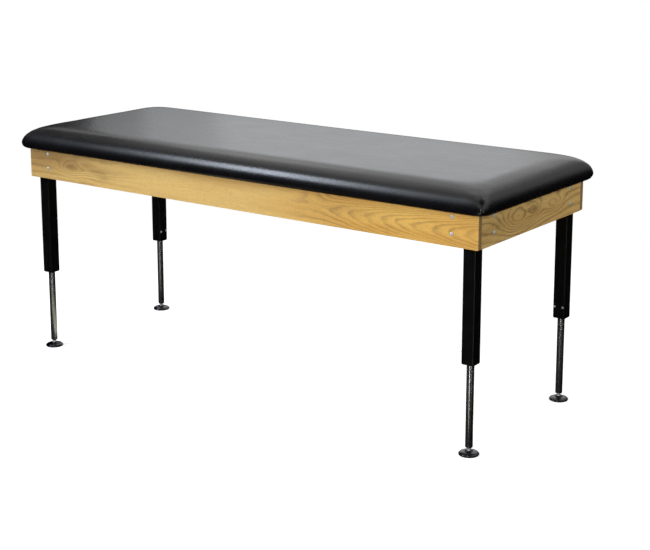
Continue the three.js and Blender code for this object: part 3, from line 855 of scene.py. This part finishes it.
def swell(piece):
    held = piece.vertex_groups.new(name="held")
    for vertex in piece.data.vertices:
        if vertex.co.z < coverLow.z + 1 * mm:
            held.add([vertex.index], 1.0, "REPLACE")
    before = [v.co.copy() for v in piece.data.vertices]
    normals = [v.normal.copy() for v in piece.data.vertices]
    modifier = piece.modifiers.new("Cloth", "CLOTH")
    cloth = modifier.settings
    for name, value in vinylCloth.items():
        setattr(cloth, name, value)
    cloth.vertex_group_mass = "held"
    cloth.effector_weights.gravity = 0
    scene = bpy.context.scene
    scene.frame_start, scene.frame_end = 1, pad["frames"]
    modifier.point_cache.frame_start, modifier.point_cache.frame_end = 1, pad["frames"]
    for step in range(1, pad["frames"] + 1):
        scene.frame_set(step)
    makeActive(piece)
    bpy.ops.object.modifier_apply(modifier=modifier.name)
    scene.frame_set(1)
    moves = []
    for vertex, start, outward in zip(piece.data.vertices, before, normals):
        move = max((vertex.co - start).dot(outward), 0)  # the foam behind keeps the vinyl from moving in
        moves.append(min(move, pad["cap"] * mm) * 1000)
    for step in range(pad["even"]):
        sums, counts = moves[:], [1] * len(moves)
        for edge in piece.data.edges:
            a, b = edge.vertices
            sums[a] += moves[b]
            sums[b] += moves[a]
            counts[a] += 1
            counts[b] += 1
        moves = [total / count for total, count in zip(sums, counts)]
    for vertex, start, outward, move in zip(piece.data.vertices, before, normals, moves):
        vertex.co = start + outward * move * mm
    piece.vertex_groups.clear()
    mean = sum(moves) / len(moves)
    print("stage: top swollen, mean", round(mean, 2), "mm, most", round(max(moves), 1), "mm")


# Folds where the vinyl is gathered round each lower corner of the deck.
def gatherCorners(piece):
    pleatTop = coverLow.z + (pad["side"] + pad["pleatRise"]) * mm
    cornerX = coverHigh.x - pad["undersideRadius"] * mm
    cornerY = coverHigh.y - pad["undersideRadius"] * mm
    margin = 10 * mm
    for vertex in piece.data.vertices:
        x, y, z = vertex.co
        if abs(x) < cornerX - margin or abs(y) < cornerY - margin or z > pleatTop:
            continue
        out = Vector((abs(x) - cornerX, abs(y) - cornerY, 0))
        if out.length < pad["pleatStart"] * mm:
            continue
        turn = math.atan2(out.y, out.x)
        share = min((pleatTop - z) / (pad["pleatFade"] * mm), 1)
        middle = max(math.cos((turn - math.pi / 4) * pad["pleatSpread"]), 0)
        depth = pad["pleatDepth"] * mm * share * middle * (0.5 - 0.5 * math.cos(turn * pad["pleats"] * 4))
        direction = Vector((math.copysign(math.cos(turn), x), math.copysign(math.sin(turn), y), 0))
        vertex.co -= direction * depth


# Cuts the opening under the deck and hollows the form out for the deck.
def openUnderside(piece):
    deckX, deckY = deckHigh.x * 1000, deckHigh.y * 1000
    openX, openY = deckX - pad["hem"], deckY - pad["hem"]
    low = coverLow.z + 0.5 * mm
    makeActive(piece)
    bpy.ops.object.mode_set(mode="EDIT")
    for axis, place in ((0, openX), (1, openY)):
        for sign in (-1, 1):
            selectBy(piece, lambda point: point.z < low)
            normal = [0, 0, 0]
            normal[axis] = 1
            centre = [0, 0, coverLow.z]
            centre[axis] = sign * place * mm
            bpy.ops.mesh.bisect(plane_co=centre, plane_no=normal)
    slack = 0.02
    farX, farY = (openX + slack) * mm, (openY + slack) * mm
    selectBy(piece, lambda point: point.z < low and abs(point.x) <= farX and abs(point.y) <= farY)
    bpy.ops.mesh.select_mode(type="FACE")
    bpy.ops.mesh.delete(type="FACE")
    bpy.ops.mesh.select_mode(type="VERT")
    bpy.ops.mesh.select_all(action="DESELECT")
    bpy.ops.mesh.select_non_manifold()
    bpy.ops.mesh.extrude_region_move(TRANSFORM_OT_translate={"value": (0, 0, pad["wall"] * mm)})
    bpy.ops.mesh.extrude_region_move(TRANSFORM_OT_translate={"value": (0, 0, 0)})
    bpy.ops.object.mode_set(mode="OBJECT")
    edgeX, edgeY, radius = deckX + pad["gap"], deckY + pad["gap"], pad["deckRadius"] + pad["gap"]
    for vertex in piece.data.vertices:
        if vertex.select:
            x, y = vertex.co.x * 1000 / openX * edgeX, vertex.co.y * 1000 / openY * edgeY
            corner = Vector((abs(x) - (edgeX - radius), abs(y) - (edgeY - radius)))
            if corner.x > 0 and corner.y > 0:
                corner = corner.normalized() * radius
                x = math.copysign(edgeX - radius + corner.x, x)
                y = math.copysign(edgeY - radius + corner.y, y)
            vertex.co.x, vertex.co.y = x * mm, y * mm
    bpy.ops.object.mode_set(mode="EDIT")
    rise = deckHigh.z + pad["gap"] * mm - coverLow.z - pad["wall"] * mm
    bpy.ops.mesh.extrude_region_move(TRANSFORM_OT_translate={"value": (0, 0, rise)})
    bpy.ops.mesh.edge_face_add()
    bpy.ops.mesh.select_all(action="SELECT")
    bpy.ops.mesh.normals_make_consistent(inside=False)
    bpy.ops.object.mode_set(mode="OBJECT")


top = evenPad()
swell(top)
applyModifier(top, "SUBSURF", levels=1, render_levels=1)
gatherCorners(top)
openUnderside(top)
makeActive(top)
bpy.ops.object.shade_smooth_by_angle(angle=math.radians(50))
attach(top, "table")
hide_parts("vinyl_cover", "foam_pad")
print("stage: padded top ready,", len(top.data.polygons), "faces")


# Staples that hold the hem, clear of the leg brackets and the cross board

staple = {
    "crown": 11,
    "wire": 1.1,
    "thickness": 0.45,
    "edge": 0.18,
    "bite": 0.02,  # pressed this far into the vinyl
    "askew": 0.12,  # radians either way
    "pitch": 38,
    "fromHem": 7,
    "clearCorner": 150,
    "clearMiddle": 30,
}


def makeStaples():
    clearSelection()
    size = (staple["crown"] * mm, staple["wire"] * mm, staple["thickness"] * mm)
    bpy.ops.mesh.primitive_cube_add(size=1, location=(0, 0, 0), scale=size)
    first = namedPiece("hemStaples", zinc)
    bpy.ops.object.transform_apply(location=True, rotation=True, scale=True)
    bpy.ops.object.mode_set(mode="EDIT")
    bpy.ops.mesh.select_all(action="SELECT")
    bpy.ops.mesh.bevel(offset=staple["edge"] * mm, segments=1)
    bpy.ops.object.mode_set(mode="OBJECT")
    z = coverLow.z - staple["thickness"] / 2 * mm + staple["bite"] * mm
    lineX = deckHigh.x - (pad["hem"] - staple["fromHem"]) * mm
    lineY = deckHigh.y - (pad["hem"] - staple["fromHem"]) * mm
    places = []
    askew = staple["askew"]
    for sign in (-1, 1):
        reach = lineX - staple["clearCorner"] * mm
        count = int(2 * reach / (staple["pitch"] * mm))
        for i in range(count + 1):
            x = -reach + 2 * reach * i / count
            if abs(x) > staple["clearMiddle"] * mm:
                places.append((x, sign * lineY, random.uniform(-askew, askew)))
        reach = lineY - staple["clearCorner"] * mm
        count = int(2 * reach / (staple["pitch"] * mm))
        for i in range(count + 1):
            y = -reach + 2 * reach * i / count
            places.append((sign * lineX, y, math.pi / 2 + random.uniform(-askew, askew)))
    copies = []
    for x, y, turn in places:
        copy = first.copy()
        copy.data = first.data.copy()
        copy.data.transform(Matrix.Translation((x, y, z)) @ Matrix.Rotation(turn, 4, "Z"))
        bpy.context.scene.collection.objects.link(copy)
        copies.append(copy)
    bpy.data.objects.remove(first)
    clearSelection()
    for copy in copies:
        copy.select_set(True)
    bpy.context.view_layer.objects.active = copies[0]
    bpy.ops.object.join()
    staples = bpy.context.object
    staples.name = "hemStaples"
    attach(staples, "table")
    return len(copies)


print("stage:", makeStaples(), "staples ready")

# Hardware, each piece modelled once and copied to the four corners, a quarter turn on each time

corners = {"front_left": (-1, -1), "front_right": (1, -1), "back_right": (1, 1), "back_left": (-1, 1)}
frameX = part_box("front_rail")[1].x
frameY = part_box("back_rail")[1].y
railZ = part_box("front_rail")[0].z
legs = {
    "boltInset": 96,  # from the outer corner of the frame
    "boltRest": -0.3,  # seat of a bolt's head in front of the rail
    "boltHeights": (41, 96),  # above the bottom of the rails
    "deckScrews": ((67.65, 29), (29, 67.65)),
    "gusset": 3.2,
}


# From the outer corner of the frame, with the rails along +X and +Y, to the corner's place.
def cornerMatrix(corner):
    signX, signY = corners[corner]
    turn = Matrix.Rotation(list(corners).index(corner) * math.pi / 2, 4, "Z")
    return Matrix.Translation((signX * frameX, signY * frameY, 0)) @ turn


# From the middle line of a leg to the corner's place.
def legMatrix(corner):
    low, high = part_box("post_" + corner)
    turn = Matrix.Rotation(list(corners).index(corner) * math.pi / 2, 4, "Z")
    return Matrix.Translation(((low.x + high.x) / 2, (low.y + high.y) / 2, 0)) @ turn


def placeCopy(first, name, matrix, body, slot, *replaced):
    mesh = first.data.copy()
    mesh.name = name
    mesh.transform(matrix)
    piece = bpy.data.objects.new(name, mesh)
    bpy.context.scene.collection.objects.link(piece)
    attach(piece, body)
    if replaced:
        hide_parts(*replaced)
    return piece


def addToLegs(first, name, node, body, slot):
    settle(first, 50)
    for corner in corners:
        rider = body if body == "table" else body + "_" + corner
        placeCopy(first, name + "_" + corner, legMatrix(corner), rider, slot, node + "_" + corner)
    bpy.data.objects.remove(first)


# The solid of one node as a clean mesh with rounded edges.
def roundedCopy(node, name, material, edge):
    piece = bpy.data.objects.new(name, nodes[node].data.copy())
    bpy.context.scene.collection.objects.link(piece)
    piece.data.materials.clear()
    piece.data.materials.append(material)
    makeActive(piece)
    bpy.ops.object.mode_set(mode="EDIT")
    bpy.ops.mesh.select_all(action="SELECT")
    bpy.ops.mesh.remove_doubles(threshold=2e-6)
    bpy.ops.mesh.dissolve_limited(angle_limit=math.radians(1))
    bpy.ops.object.mode_set(mode="OBJECT")
    applyModifier(
        piece, "BEVEL", width=edge * mm, segments=2, limit_method="ANGLE", angle_limit=math.radians(48),
        use_clamp_overlap=False
    )
    makeActive(piece)
    bpy.ops.object.shade_smooth_by_angle(angle=math.radians(40))
    applyModifier(piece, "WEIGHTED_NORMAL", mode="FACE_AREA", weight=100, keep_sharp=True)
    return piece


# Legs: square tube with the two wings and the gusset of its bracket welded on

legEdge = 0.35


def makeLegs():
    back = cornerMatrix("front_left").inverted()
    for name, node, material, slot in (
        ("legTube", "leg_tube", powderCoat, "black_steel"),
        ("clampBush", "clamp_bush", nylon, "nylon"),
    ):
        first = roundedCopy(node + "_front_left", name, material, legEdge)
        for corner in corners:
            matrix = cornerMatrix(corner) @ back
            placeCopy(first, name + "_" + corner, matrix, "table", slot, node + "_" + corner)
        bpy.data.objects.remove(first)


# Weld beads down both sides of the tube, where it meets the wings of its bracket

bead = {
    "radius": 2.4,
    "length": 84,
    "top": 791,
    "ripple": 2.4,
    "depth": 0.45,
    "rings": 105,
    "swells": ((0.18, 0.31, 0), (0.12, 0.83, 1)),  # size, turns and start of two slow waves down the bead
    "places": ((67.2, 22.8), (22.8, 67.2)),
}


def makeBeads():
    low = bead["top"] - bead["length"]
    profile = [(bead["radius"] * 0.5, low - 1)]
    for i in range(bead["rings"] + 1):
        profile.append((bead["radius"], low + bead["length"] * i / bead["rings"]))
    profile.append((bead["radius"] * 0.5, bead["top"] + 1))
    first = turnPiece("weldBead", profile, 12, powderCoat)

    def rippled(angle, radius, height):
        if radius < bead["radius"] * 0.9:
            return radius
        wave = abs(math.sin(math.pi * (height + 0.3 * math.cos(angle)) / bead["ripple"]))
        swellBy = sum(size * math.sin(height * turns + start) for size, turns, start in bead["swells"])
        return radius + swellBy - bead["depth"] * (1 - wave)

    reshape(first, rippled)
    settle(first, 60)
    for corner in corners:
        for i, (x, y) in enumerate(bead["places"]):
            matrix = cornerMatrix(corner) @ Matrix.Translation((x * mm, y * mm, 0))
            placeCopy(first, f"weldBead_{corner}_{i + 1}", matrix, "table", "black_steel")
    bpy.data.objects.remove(first)


# Post: chromed tube that slides in the leg, with broken edges

post = {"radius": 12.5, "wall": 2, "edge": 0.5}


def makePosts():
    low, high = (c.z * 1000 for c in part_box("post_front_left"))
    outer, inner, edge = post["radius"], post["radius"] - post["wall"], post["edge"]
    profile = arcPoints(outer - edge, low + edge, edge, -90, 0, 3)
    profile += arcPoints(outer - edge, high - edge, edge, 0, 90, 3)
    profile += arcPoints(inner + edge, high - edge, edge, 90, 180, 3)
    profile += arcPoints(inner + edge, low + edge, edge, 180, 270, 3)
    addToLegs(turnPiece("post", profile, 72, chrome, loop=True), "post", "post", "post", "chrome")


# Insert: the round-headed plug in the post's lower end

insert = {"bore": 5.05, "head": 4, "round": 3, "body": 10.2, "edge": 0.5}


def makeInserts():
    low, high = (c.z * 1000 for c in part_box("post_insert_front_left"))
    radius, bore, edge = post["radius"], insert["bore"], insert["edge"]
    profile = [(bore, low + edge), (bore + edge, low)]
    profile += arcPoints(radius - insert["round"], low + insert["round"], insert["round"], -90, 0, 8)
    profile += [(radius, low + insert["head"]), (insert["body"], low + insert["head"])]
    profile += [(insert["body"], high - edge), (insert["body"] - edge, high)]
    profile += [(bore + edge, high), (bore, high - edge)]
    first = turnPiece("postInsert", profile, 72, chrome, loop=True)
    addToLegs(first, "postInsert", "post_insert", "post", "chrome")


# Stem: ball, neck, hexagon for the spanner and rolled thread in one

stem = {
    "ball": 8,
    "ballHeight": 11,
    "neck": 5.8,
    "across": 13,
    "hexLow": 18.554,
    "hexHeight": 4,
    "hexRound": 6.7,  # radius to which the hexagon's corners are chamfered on its two faces
    "hexEdge": 0.5,
    "relief": 3.9,
    "thread": 4.75,
    "root": 4.05,
    "tip": 0.4,
    "runOut": 1.3,  # from the hexagon to the thread's first ring
    "pitch": 1.5,
    "ringsPerTurn": 6,
}


def makeStems():
    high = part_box("levelling_stem_front_left")[1].z * 1000
    neckAngle = math.degrees(math.acos(stem["neck"] / stem["ball"]))
    hexLow, hexHigh = stem["hexLow"], stem["hexLow"] + stem["hexHeight"]
    corner = hexRadius(stem["across"], 0)
    profile = arcPoints(0, stem["ballHeight"], stem["ball"], -86, neckAngle, 16)
    profile += [(stem["neck"], hexLow), (stem["hexRound"], hexLow)]
    profile += [(corner, hexLow + stem["hexEdge"]), (corner, hexHigh - stem["hexEdge"])]
    profile += [(stem["hexRound"], hexHigh), (stem["relief"], hexHigh), (stem["relief"], hexHigh + 1)]
    threadLength = high - hexHigh - stem["runOut"] - 0.1
    rings = int(threadLength / stem["pitch"] * stem["ringsPerTurn"])
    for i in range(rings + 1):
        profile.append((stem["thread"], hexHigh + stem["runOut"] + threadLength * i / rings))
    profile.append((stem["root"] - stem["tip"], high))
    first = turnPiece("levellingStem", profile, 36, zinc)

    def shaped(angle, radius, height):
        if abs(radius - corner) < 0.01:
            return hexRadius(stem["across"], angle)
        if abs(radius - stem["thread"]) < 0.01:
            turn = (height / stem["pitch"] - angle / (2 * math.pi)) % 1
            ridge = 1 - abs(2 * turn - 1)
            fade = min(1, (height - hexHigh - 1.2) / 2, (high - height) / 1.5 + 0.2)
            return stem["root"] + (stem["thread"] - stem["root"]) * min(ridge * 1.25, 1) * max(fade, 0.15)
        return radius

    reshape(first, shaped)
    addToLegs(first, "levellingStem", "levelling_stem", "stem", "zinc_steel")


# Glide: pressed, chromed cap, darkened as a painted dark reflection, over a rubber pad

glide = {
    "radius": 33.5,
    "rim": 1.6,
    "collar": 9.8,
    "collarEdge": 0.7,
    "flare": 18,
    "flareHeight": 8,
    "mouth": 7.3,
    "socket": 8.5,
    "lip": 0.5,  # the dome ends this far inside the rim
    "low": 3,
    "top": 16.354,
    "padRadius": 32.3,
    "padHole": 1.5,
    "padEdge": 0.9,
    "padTopEdge": 0.3,
    "grooves": 7,
    "grooveReach": (4, 30.3),  # radii between which the grooves lie
    "grooveHalf": 0.9,
    "grooveBottom": 0.4,
    "grooveDepth": 0.5,
}


def makeGlides():
    low, top, rim = glide["low"], glide["top"], glide["rim"]
    radius, flare, collar, edge = glide["radius"], glide["flare"], glide["collar"], glide["collarEdge"]
    step = low + glide["flareHeight"]
    mouthAngle = math.degrees(math.acos(glide["mouth"] / glide["socket"]))
    profile = arcPoints(0, stem["ballHeight"], glide["socket"], -66, mouthAngle, 12)
    profile += [(glide["mouth"], top - edge / 2), (glide["mouth"] + edge / 2, top)]
    profile += arcPoints(collar - edge, top - edge, edge, 90, 0, 4)
    for i in range(1, 13):
        angle = math.radians(180 + 90 * i / 12)
        across = (flare - collar) * math.cos(angle)
        profile.append((flare + across, top - edge + (top - edge - step) * math.sin(angle)))
    for i in range(1, 15):
        angle = math.radians(90 - 90 * i / 14)
        across = (radius - glide["lip"] - flare) * math.cos(angle)
        profile.append((flare + across, low + rim + (step - low - rim) * math.sin(angle)))
    profile += arcPoints(radius - rim / 2, low + rim / 2, rim / 2, 60, -90, 6)
    profile.append((profile[0][0], low))
    first = turnPiece("glideCap", profile, 96, darkenedChrome, loop=True)
    addToLegs(first, "glideCap", "glide_cap", "glide", "chrome")

    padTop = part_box("glide_pad_front_left")[1].z * 1000
    padRadius, padEdge = glide["padRadius"], glide["padEdge"]
    hole, topEdge, depth = glide["padHole"], glide["padTopEdge"], glide["grooveDepth"]
    half, bottom = glide["grooveHalf"], glide["grooveBottom"]
    tread = [(hole, 0)]
    for i in range(glide["grooves"]):
        middle = between(*glide["grooveReach"], (i + 0.5) / glide["grooves"])
        tread += [(middle - half, 0), (middle - bottom, depth), (middle + bottom, depth), (middle + half, 0)]
    tread += arcPoints(padRadius - padEdge, padEdge, padEdge, -90, 0, 4)
    tread += [(padRadius, padTop - topEdge), (padRadius - topEdge, padTop), (hole, padTop)]
    addToLegs(turnPiece("glidePad", tread, 72, rubber), "glidePad", "glide_pad", "glide", "rubber")


# Rail bolts: button heads with a hexagon socket

bolt = {
    "head": 6.4,
    "headHeight": 3.4,
    "socket": 4,
    "socketDepth": 1.9,
    "socketEdge": 0.5,
    "shank": 3.1,
    "edge": 0.3,
    "tip": (0.8, 0.8),  # radius lost and length of the taper at its end
    "length": 28,
}


def makeBolts():
    head, rise = bolt["head"], bolt["headHeight"]
    mouth = hexRadius(bolt["socket"], 0)
    first = math.degrees(math.asin((mouth + bolt["socketEdge"]) / head))
    mouthHeight = -rise * math.cos(math.radians(first))
    profile = [(mouth * 0.98, mouthHeight + bolt["socketDepth"])]
    profile += [(mouth, mouthHeight + 0.25), (mouth + 0.45, mouthHeight)]
    for i in range(1, 12):
        angle = math.radians(first + (86 - first) * i / 11)
        profile.append((head * math.sin(angle), -rise * math.cos(angle)))
    shank, edge, (thinner, taper) = bolt["shank"], bolt["edge"], bolt["tip"]
    profile += [(head - edge / 2, 0), (shank + edge, 0), (shank, edge)]
    profile += [(shank, bolt["length"] - taper), (shank - thinner, bolt["length"])]
    piece = turnPiece("railBolt", profile, 36, zinc)

    def socketed(angle, radius, height):
        if radius < mouth + 0.01 and height < 1:
            return min(radius, hexRadius(bolt["socket"], angle))
        return radius

    reshape(piece, socketed)
    settle(piece, 40)
    along = Matrix.Rotation(-math.pi / 2, 4, "X")
    across = Matrix.Rotation(math.pi / 2, 4, "Y")
    inset, rest = legs["boltInset"] * mm, legs["boltRest"] * mm
    for corner in corners:
        number = 0
        for place, turn in (((inset, rest), along), ((rest, inset), across)):
            for height in legs["boltHeights"]:
                number += 1
                matrix = cornerMatrix(corner) @ Matrix.Translation((*place, railZ + height * mm)) @ turn
                matrix = matrix @ Matrix.Rotation(random.uniform(0, math.pi), 4, "Z")
                name = f"{corner}_{number}"
                placeCopy(piece, "railBolt_" + name, matrix, "table", "zinc_steel", "rail_bolt_" + name)
    bpy.data.objects.remove(piece)


# Pan screws with a cross recess: two across each clamp bush, and two up through each gusset into the deck

screw = {
    "head": 4,
    "headHeight": 2.6,
    "flat": 0.8,  # radius of the flat on the head
    "shank": 2,
    "tip": (0.7, 0.8),
    "length": 32,
    "deckLength": 16,
    "crossLength": 4.4,
    "crossWidth": 1.0,
    "crossDepth": 1.5,
}


def panScrew(name, length):
    head, rise, shank, flat = screw["head"], screw["headHeight"], screw["shank"], screw["flat"]
    profile = [(flat, -rise)]
    for i in range(1, 10):
        angle = math.radians(88 * i / 9)
        profile.append((flat + (head - flat) * math.sin(angle) ** 0.8, -rise * math.cos(angle) ** 0.7))
    thinner, taper = screw["tip"]
    profile += [(head - 0.1, 0), (shank, 0), (shank, length - taper), (shank - thinner, length)]
    piece = turnPiece(name, profile, 32, zinc)
    for turn in (0, math.pi / 2):
        clearSelection()
        size = (screw["crossLength"] * mm, screw["crossWidth"] * mm, screw["crossDepth"] * mm * 2)
        place = (0, 0, -rise * mm)
        bpy.ops.mesh.primitive_cube_add(size=1, location=place, rotation=(0, 0, turn), scale=size)
        cutter = namedPiece("crossCutter", zinc)
        bpy.ops.object.transform_apply(location=True, rotation=True, scale=True)
        bpy.ops.object.mode_set(mode="EDIT")
        selectBy(cutter, lambda point: point.z > -rise * mm)
        bpy.ops.transform.resize(value=(0.55, 0.55, 1), center_override=(0, 0, -rise * mm))
        bpy.ops.object.mode_set(mode="OBJECT")
        applyModifier(piece, "BOOLEAN", operation="DIFFERENCE", object=cutter, solver="EXACT")
        bpy.data.objects.remove(cutter)
    settle(piece, 40)
    return piece


def makeScrews():
    first = panScrew("clampScrew", screw["length"])
    for corner in corners:
        for number in (1, 2):
            name = f"{corner}_{number}"
            low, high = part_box("clamp_screw_" + name)
            middle = (low + high) / 2
            turn = cornerMatrix(corner).to_3x3().to_4x4()
            out = turn @ Vector((0, 1, 0))
            reach = (high - low).dot(Vector((abs(out.x), abs(out.y), 0))) / 2
            seat = middle + out * (reach - screw["headHeight"] * mm)
            matrix = Matrix.Translation(seat) @ turn @ Matrix.Rotation(math.pi / 2, 4, "X")
            matrix = matrix @ Matrix.Rotation(random.uniform(0, math.pi), 4, "Z")
            placeCopy(first, "clampScrew_" + name, matrix, "table", "zinc_steel", "clamp_screw_" + name)
    bpy.data.objects.remove(first)
    first = panScrew("deckScrew", screw["deckLength"])
    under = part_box("leg_tube_front_left")[1].z - legs["gusset"] * mm
    for corner in corners:
        for i, (x, y) in enumerate(legs["deckScrews"]):
            matrix = cornerMatrix(corner) @ Matrix.Translation((x * mm, y * mm, under))
            matrix = matrix @ Matrix.Rotation(random.uniform(0, math.pi), 4, "Z")
            placeCopy(first, f"deckScrew_{corner}_{i + 1}", matrix, "table", "zinc_steel")
    bpy.data.objects.remove(first)


makeLegs()
makeBeads()
print("stage: legs ready")
makePosts()
makeInserts()
makeStems()
makeGlides()
print("stage: posts and glides ready")
makeBolts()
makeScrews()
print("stage: bolts and screws ready")
